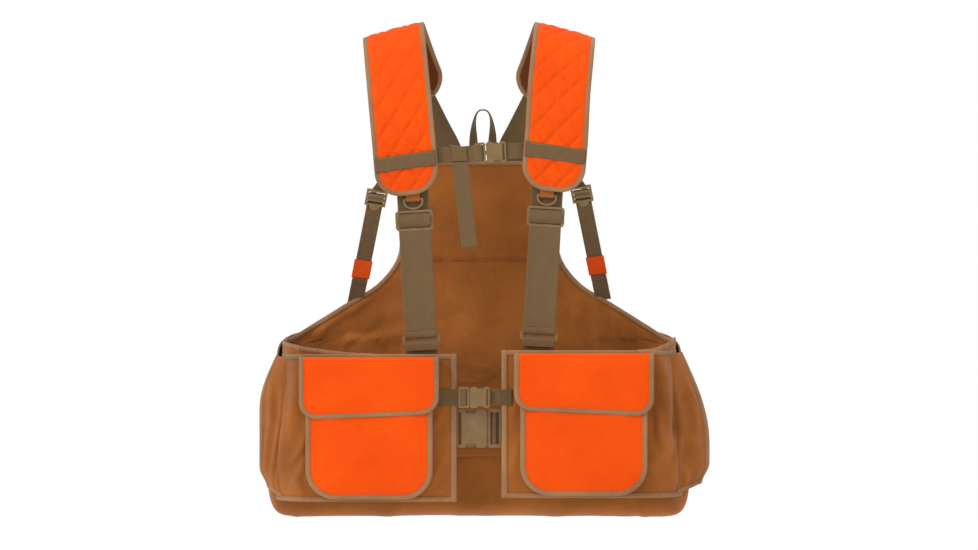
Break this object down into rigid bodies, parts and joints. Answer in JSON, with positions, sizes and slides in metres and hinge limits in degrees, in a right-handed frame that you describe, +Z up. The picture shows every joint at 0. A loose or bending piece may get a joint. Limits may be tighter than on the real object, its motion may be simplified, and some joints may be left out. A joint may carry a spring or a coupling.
{
  "type": "upland strap game vest",
  "caption": "Blaze orange and brown strap vest with quilted shoulder pads, flapped shell pockets, rear game bag, webbing harness and side-release buckles.",
  "frame": {"origin": "on the centre line at the height of the shoulder pads' crests, where a hanger or the shoulders hold the vest", "axes": "+Z up, the wearer faces -Y, +X to the wearer's left"},
  "size_m": [0.7121, 0.2601, 0.7929],
  "materials": {
    "orange_cloth": "blaze orange polyester, plain weave",
    "canvas": "brown cotton canvas",
    "lining": "brown lining cloth",
    "webbing": "ribbed nylon webbing",
    "binding": "twill binding tape",
    "thread": "sewing thread",
    "buckle_plastic": "moulded acetal, satin"
  },
  "bodies": {
    "vest": {"yoke_panel": "canvas", "back_panel": "canvas", "game_bag": "canvas", "chest_buckle_socket": "buckle_plastic", "chest_strap_left": "webbing", "belly_buckle_socket": "buckle_plastic", "belly_strap_left": "webbing", "waist_buckle_socket": "buckle_plastic", "waist_belt_right": "webbing", "front_panel_right": "canvas", "pocket_right": "orange_cloth", "shoulder_pad_right": "orange_cloth", "pad_band_right": "webbing", "back_strap_right": "webbing", "front_strap_right": "webbing", "anchor_strap_right": "webbing", "strap_return_right": "webbing", "lower_ring_right": "buckle_plastic", "d_ring_tab_right": "canvas", "side_strap_right": "webbing", "strap_tag_right": "orange_cloth", "lock_loop_right": "webbing", "front_panel_left": "canvas", "pocket_left": "orange_cloth", "shoulder_pad_left": "orange_cloth", "pad_band_left": "webbing", "back_strap_left": "webbing", "front_strap_left": "webbing", "anchor_strap_left": "webbing", "strap_return_left": "webbing", "lower_ring_left": "buckle_plastic", "d_ring_tab_left": "canvas", "side_strap_left": "webbing", "strap_tag_left": "orange_cloth", "lock_loop_left": "webbing"},
    "flap_right": {"pocket_flap_right": "orange_cloth"},
    "ring_right": {"d_ring_right": "buckle_plastic"},
    "adjuster_right": {"strap_adjuster_right": "buckle_plastic", "adjuster_roll_right": "webbing"},
    "lock_right": {"ladder_lock_right": "buckle_plastic"},
    "flap_left": {"pocket_flap_left": "orange_cloth"},
    "ring_left": {"d_ring_left": "buckle_plastic"},
    "adjuster_left": {"strap_adjuster_left": "buckle_plastic", "adjuster_roll_left": "webbing"},
    "lock_left": {"ladder_lock_left": "buckle_plastic"},
    "chest_plug": {"chest_buckle_plug": "buckle_plastic", "chest_strap_right": "webbing", "chest_strap_fold": "webbing"},
    "chest_upper_arm": {"chest_buckle_upper_arm": "buckle_plastic"},
    "chest_lower_arm": {"chest_buckle_lower_arm": "buckle_plastic"},
    "belly_plug": {"belly_buckle_plug": "buckle_plastic", "belly_strap_right": "webbing"},
    "belly_upper_arm": {"belly_buckle_upper_arm": "buckle_plastic"},
    "belly_lower_arm": {"belly_buckle_lower_arm": "buckle_plastic"},
    "waist_plug": {"waist_buckle_plug": "buckle_plastic", "waist_belt_left": "webbing"},
    "waist_upper_arm": {"waist_buckle_upper_arm": "buckle_plastic"},
    "waist_lower_arm": {"waist_buckle_lower_arm": "buckle_plastic"},
    "chest_tail": {"chest_strap_tail": "webbing"},
    "haul_loop": {"haul_loop": "webbing"}
  },
  "joints": [
    {"name": "flap_right_lift", "type": "hinge", "parent": "vest", "child": "flap_right", "pos_m": [-0.172, -0.0813, -0.518], "axis": [-1, 0, 0], "range_deg": [0, 90]},
    {"name": "ring_right_swing", "type": "hinge", "parent": "vest", "child": "ring_right", "pos_m": [-0.1036, -0.0754, -0.26899], "axis": [-0.9983, 0, -0.0576], "range_deg": [0, 100]},
    {"name": "adjuster_right_slide", "type": "slide", "parent": "vest", "child": "adjuster_right", "axis": [0.0576, 0, -0.9983], "range_m": [0, 0.14], "deforming": ["strap_return_right"]},
    {"name": "lock_right_tilt", "type": "hinge", "parent": "vest", "child": "lock_right", "pos_m": [-0.15948, -0.07336, -0.25616], "axis": [-0.9845, -0.106, 0.1397], "range_deg": [0, 40]},
    {"name": "flap_left_lift", "type": "hinge", "parent": "vest", "child": "flap_left", "pos_m": [0.164, -0.0813, -0.512], "axis": [-1, 0, 0], "range_deg": [0, 90]},
    {"name": "ring_left_swing", "type": "hinge", "parent": "vest", "child": "ring_left", "pos_m": [0.1066, -0.0754, -0.26299], "axis": [-0.9983, 0, 0.0576], "range_deg": [0, 100]},
    {"name": "adjuster_left_slide", "type": "slide", "parent": "vest", "child": "adjuster_left", "axis": [-0.0576, 0, -0.9983], "range_m": [0, 0.14], "deforming": ["strap_return_left"]},
    {"name": "lock_left_tilt", "type": "hinge", "parent": "vest", "child": "lock_left", "pos_m": [0.15948, -0.07336, -0.25016], "axis": [-0.9845, 0.106, -0.1397], "range_deg": [0, 40]},
    {"name": "chest_plug_slide", "type": "slide", "parent": "vest", "child": "chest_plug", "axis": [-0.9981, 0, -0.0611], "range_m": [0, 0.0225]},
    {"name": "chest_upper_arm_squeeze", "type": "hinge", "parent": "chest_plug", "child": "chest_upper_arm", "pos_m": [0.01024, -0.0775, -0.18359], "axis": [0, 1, 0], "range_deg": [0, 10.5]},
    {"name": "chest_lower_arm_squeeze", "type": "hinge", "parent": "chest_plug", "child": "chest_lower_arm", "pos_m": [0.01176, -0.0775, -0.20847], "axis": [0, -1, 0], "range_deg": [0, 10.5]},
    {"name": "belly_plug_slide", "type": "slide", "parent": "vest", "child": "belly_plug", "axis": [-1, 0, 0], "range_m": [0, 0.0225]},
    {"name": "belly_upper_arm_squeeze", "type": "hinge", "parent": "belly_plug", "child": "belly_upper_arm", "pos_m": [-0.0145, -0.0848, -0.56754], "axis": [0, 1, 0], "range_deg": [0, 10.5]},
    {"name": "belly_lower_arm_squeeze", "type": "hinge", "parent": "belly_plug", "child": "belly_lower_arm", "pos_m": [-0.0145, -0.0848, -0.59246], "axis": [0, -1, 0], "range_deg": [0, 10.5]},
    {"name": "waist_plug_slide", "type": "slide", "parent": "vest", "child": "waist_plug", "axis": [1, 0, 0], "range_m": [0, 0.0343]},
    {"name": "waist_upper_arm_squeeze", "type": "hinge", "parent": "waist_plug", "child": "waist_upper_arm", "pos_m": [0.013, -0.0665, -0.60419], "axis": [0, -1, 0], "range_deg": [0, 10.5]},
    {"name": "waist_lower_arm_squeeze", "type": "hinge", "parent": "waist_plug", "child": "waist_lower_arm", "pos_m": [0.013, -0.0665, -0.65381], "axis": [0, 1, 0], "range_deg": [0, 10.5]},
    {"name": "chest_tail_swing", "type": "hinge", "parent": "chest_plug", "child": "chest_tail", "pos_m": [-0.03027, -0.0798, -0.21088], "axis": [-0.9928, 0, -0.1201], "range_deg": [0, 80]},
    {"name": "haul_loop_fold", "type": "hinge", "parent": "vest", "child": "haul_loop", "pos_m": [0.006, 0.077, -0.206], "axis": [-1, 0, 0], "range_deg": [0, 95]}
  ],
  "couplings": [
    {"joint": "chest_upper_arm_squeeze", "follows": "chest_plug_slide", "rad_per_m": 8},
    {"joint": "chest_lower_arm_squeeze", "follows": "chest_plug_slide", "rad_per_m": 8},
    {"joint": "belly_upper_arm_squeeze", "follows": "belly_plug_slide", "rad_per_m": 8},
    {"joint": "belly_lower_arm_squeeze", "follows": "belly_plug_slide", "rad_per_m": 8},
    {"joint": "waist_upper_arm_squeeze", "follows": "waist_plug_slide", "rad_per_m": 5.248},
    {"joint": "waist_lower_arm_squeeze", "follows": "waist_plug_slide", "rad_per_m": 5.248}
  ]
}
